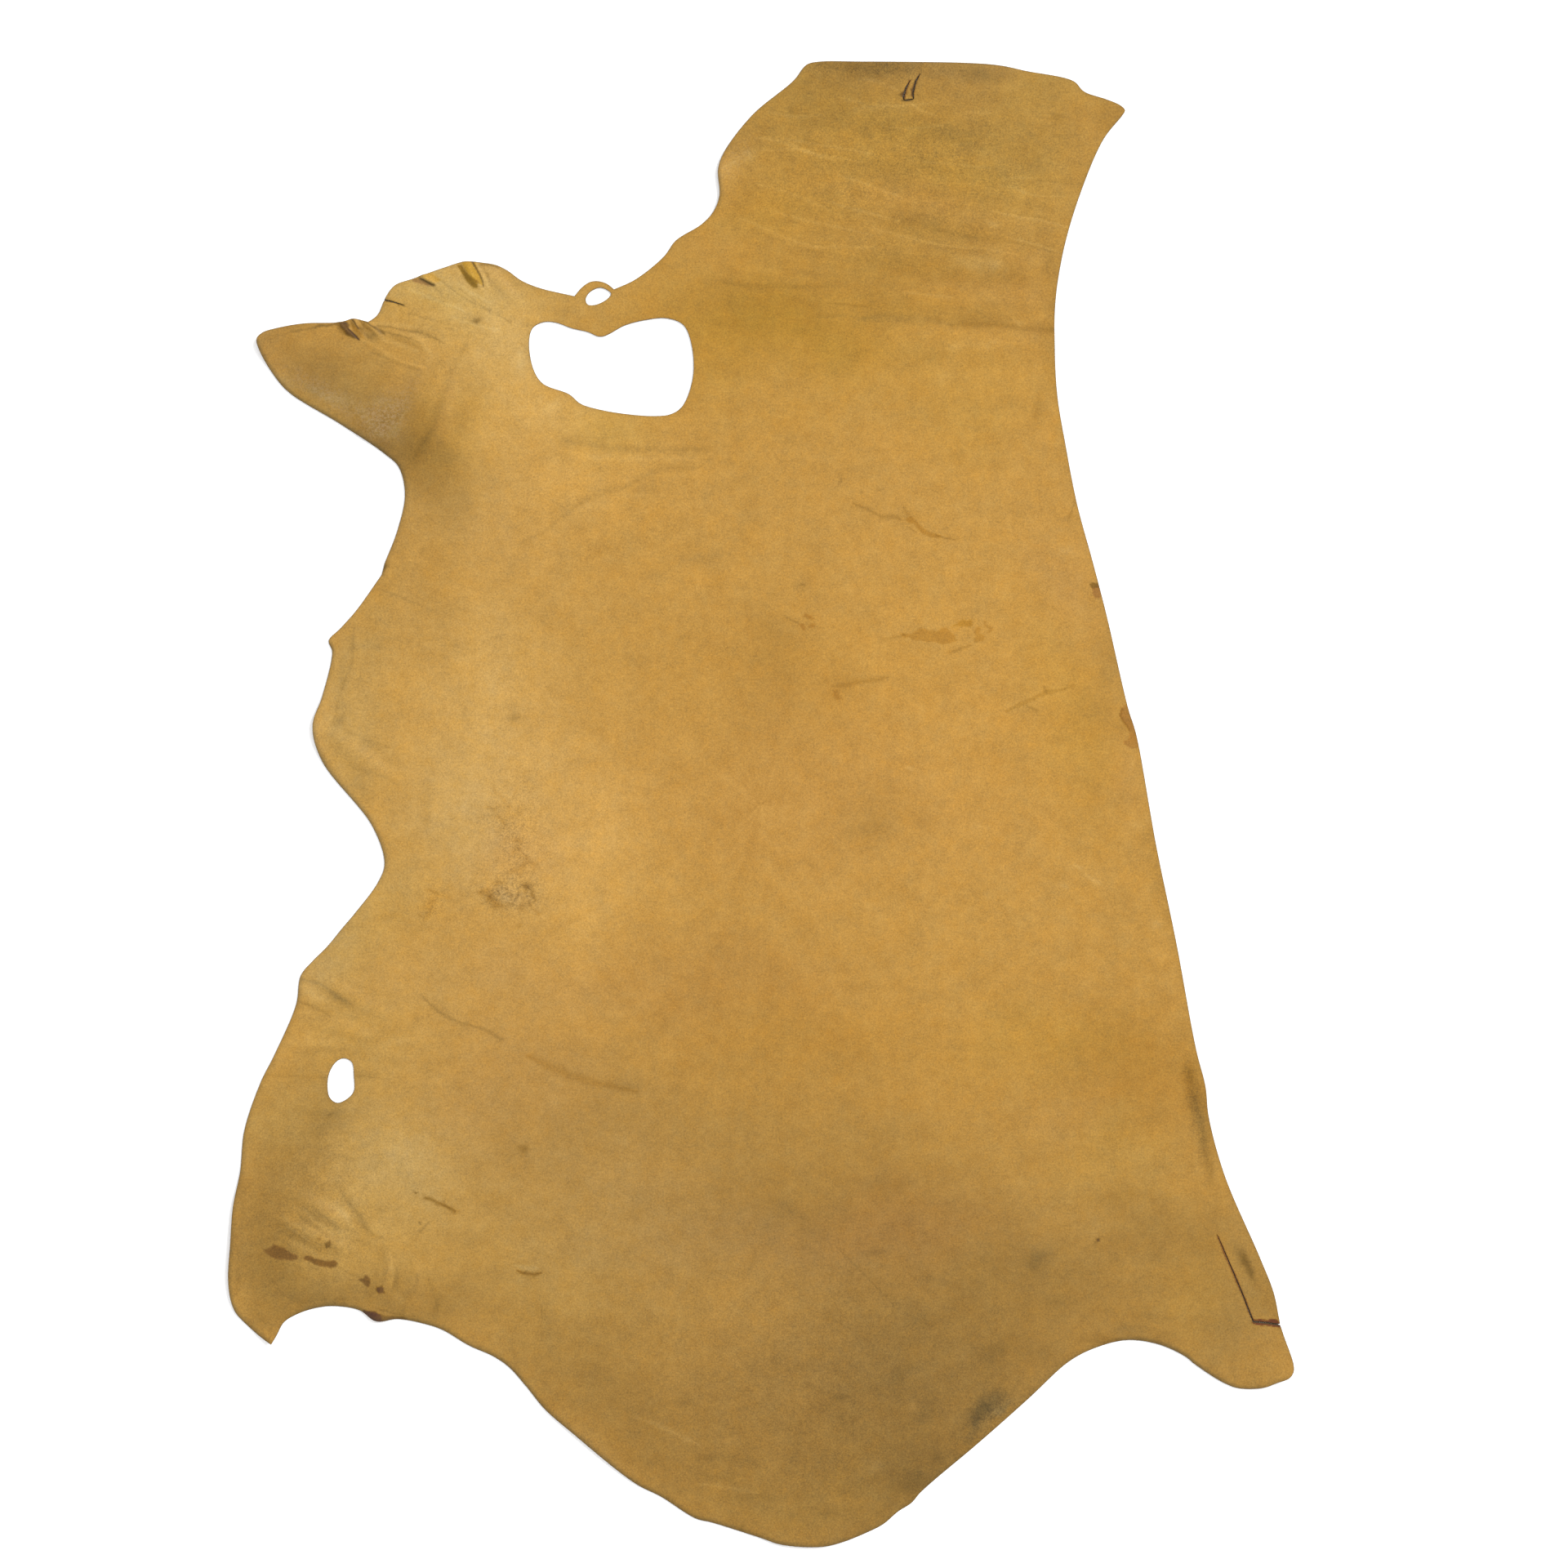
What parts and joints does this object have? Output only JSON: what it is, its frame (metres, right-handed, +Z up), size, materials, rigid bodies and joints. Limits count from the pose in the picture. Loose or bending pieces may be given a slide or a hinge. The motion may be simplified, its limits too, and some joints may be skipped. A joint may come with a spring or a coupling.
{
  "type": "leather hide",
  "caption": "Tanned cow side of leather, lying flat: one thin sheet with a natural outline of neck, belly, shanks and rump, holes, knife cuts, pleats and low folds.",
  "frame": {"origin": "middle of the side's bounding box in plan, at the surface that it lies on", "axes": "+Y along the backbone from rump to neck, +X from the belly edge to the backbone edge, +Z up out of the grain side"},
  "size_m": [1.563, 2.1812, 0.0099],
  "materials": {
    "leather": "matte waxed full grain, mustard tan"
  },
  "bodies": {
    "root": {"hide": "leather"}
  },
  "joints": []
}
